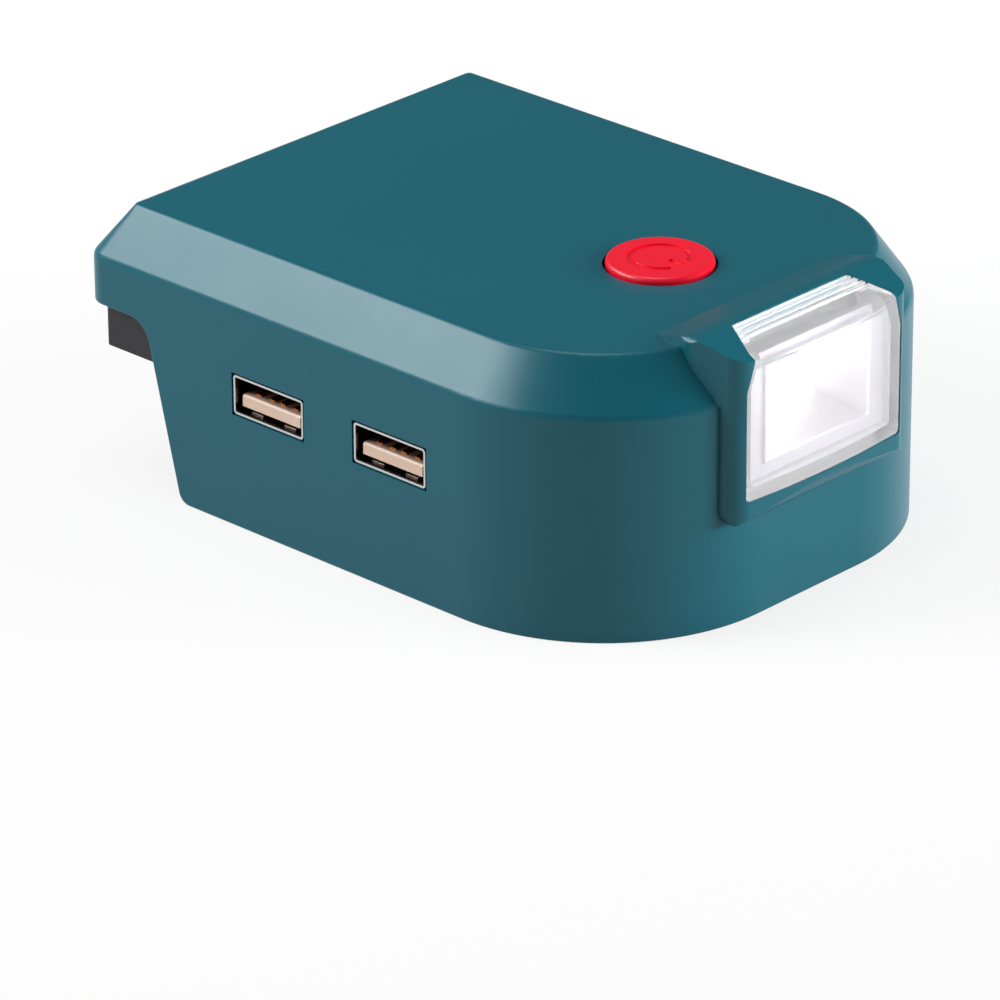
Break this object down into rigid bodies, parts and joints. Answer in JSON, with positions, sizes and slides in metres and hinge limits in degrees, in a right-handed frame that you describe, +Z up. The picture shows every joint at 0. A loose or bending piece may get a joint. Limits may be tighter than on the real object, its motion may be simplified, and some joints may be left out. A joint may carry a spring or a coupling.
{
  "type": "tool battery usb adapter",
  "caption": "Cap that slides onto a power-tool battery: bevelled housing with USB sockets on one side, a lamp at the front and a push button on top.",
  "frame": {"origin": "centre of the bounding box, at the bottom edge of the side skirts", "axes": "+Z up, -Y towards the lamp, +Y towards the end the battery slides in from, USB sockets on the -X side"},
  "size_m": [0.076, 0.1016, 0.0409],
  "materials": {
    "teal_plastic": "satin moulded ABS, fine texture",
    "black_plastic": "moulded glass-filled nylon",
    "red_plastic": "soft satin moulded plastic",
    "clear_plastic": "clear polycarbonate",
    "reflector": "metallised plastic",
    "emitter": "phosphor-coated emitters",
    "steel": "tinned steel sheet",
    "insert_plastic": "moulded insert, off-white",
    "contact_metal": "gold-flashed spring contact",
    "terminal_metal": "tinned brass blade",
    "board_green": "glass-epoxy board, green resist",
    "board_metal": "aluminium lamp board, white resist",
    "component_black": "moulded epoxy",
    "ferrite": "sintered ferrite",
    "copper": "enamelled copper wire",
    "can_metal": "aluminium can",
    "screw_metal": "blackened zinc-plated steel",
    "lead_red": "PVC insulation",
    "lead_black": "PVC insulation"
  },
  "bodies": {
    "housing": {"upper_shell": "teal_plastic", "base_tray": "black_plastic", "terminal_block": "black_plastic", "positive_terminal": "terminal_metal", "negative_terminal": "terminal_metal", "circuit_board": "board_green", "switch_base": "component_black", "switch_dome": "steel", "switch_board": "board_green", "switch_links": "copper", "lamp_lens": "clear_plastic", "lamp_reflector": "reflector", "lamp_board": "board_metal", "lamp_emitters": "emitter", "lamp_lead_red": "lead_red", "lamp_lead_black": "lead_black", "power_inductor": "ferrite", "inductor_winding": "copper", "capacitors": "can_metal", "converter_chip": "component_black", "charge_chips": "component_black", "fuse": "insert_plastic", "housing_screws": "screw_metal", "board_screws": "screw_metal", "switch_board_screws": "screw_metal", "lamp_board_screws": "screw_metal", "usb_shell_rear": "steel", "usb_shell_front": "steel", "usb_tongue_rear": "insert_plastic", "usb_tongue_front": "insert_plastic", "usb_contacts_rear": "contact_metal", "usb_contacts_front": "contact_metal"},
    "button": {"button_cap": "red_plastic"},
    "plunger": {"switch_plunger": "insert_plastic"}
  },
  "joints": [
    {"name": "button_press", "type": "slide", "parent": "housing", "child": "button", "axis": [0, 0, -1], "range_m": [0, 0.0008], "stiffness_N_per_m": 700},
    {"name": "plunger_travel", "type": "slide", "parent": "housing", "child": "plunger", "axis": [0, 0, -1], "range_m": [0, 0.0008]}
  ],
  "couplings": [
    {"joint": "plunger_travel", "follows": "button_press", "ratio": 1}
  ]
}
